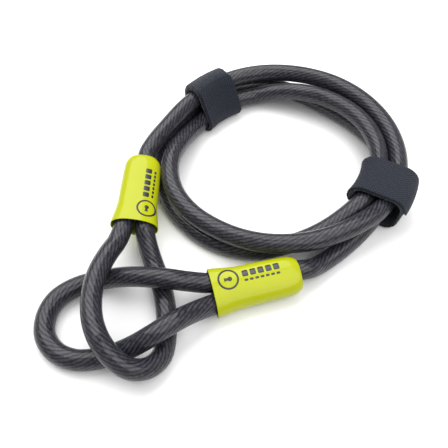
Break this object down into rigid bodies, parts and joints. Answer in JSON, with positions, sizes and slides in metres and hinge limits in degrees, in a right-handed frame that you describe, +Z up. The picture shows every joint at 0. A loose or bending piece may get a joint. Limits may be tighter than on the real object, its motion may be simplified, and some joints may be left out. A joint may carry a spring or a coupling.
{
  "type": "looped security cable",
  "caption": "Jacketed steel security cable with a crimped eye at each end, coiled and held by hook-and-loop straps.",
  "frame": {"origin": "on the floor, under the middle of the whole object's box", "axes": "+Z up from the floor; +X to the right and +Y away, seen from the side of the eyes"},
  "size_m": [0.2335, 0.2403, 0.0325],
  "materials": {
    "steel_rope": "drawn wire",
    "smoked_jacket": "translucent smoked gloss",
    "swaged_aluminium": "pressed, satin",
    "lime_cover": "moulded gloss",
    "loop_pile": "brushed loop pile",
    "woven_tape": "ribbed woven back"
  },
  "bodies": {
    "cable": {"rope_core": "steel_rope", "rope_strands": "steel_rope", "coil_jacket": "smoked_jacket", "eye_a_jacket": "smoked_jacket", "eye_b_jacket": "smoked_jacket", "ferrule_a": "swaged_aluminium", "ferrule_b": "swaged_aluminium", "cover_a": "lime_cover", "cover_b": "lime_cover"},
    "strap_1": {"strap_1_band": "loop_pile", "strap_1_wrap": "woven_tape"},
    "strap_1_tab": {"strap_1_tab": "woven_tape"},
    "strap_2": {"strap_2_band": "loop_pile", "strap_2_wrap": "woven_tape"},
    "strap_2_tab": {"strap_2_tab": "woven_tape"}
  },
  "joints": [
    {"name": "strap_1_slide", "type": "hinge", "parent": "cable", "child": "strap_1", "pos_m": [0.03, 0.037, 0], "axis": [0, 0, -1], "range_deg": [0, 12]},
    {"name": "strap_1_peel", "type": "hinge", "parent": "strap_1", "child": "strap_1_tab", "pos_m": [-0.00562, 0.07798, 0.0087], "axis": [0.7547, 0.6561, 0], "range_deg": [0, 110]},
    {"name": "strap_2_slide", "type": "hinge", "parent": "cable", "child": "strap_2", "pos_m": [0.03, 0.037, 0], "axis": [0, 0, 1], "range_deg": [0, 12]},
    {"name": "strap_2_peel", "type": "hinge", "parent": "strap_2", "child": "strap_2_tab", "pos_m": [0.08737, 0.00688, 0.0298], "axis": [-0.4648, -0.8854, 0], "range_deg": [0, 110]}
  ]
}
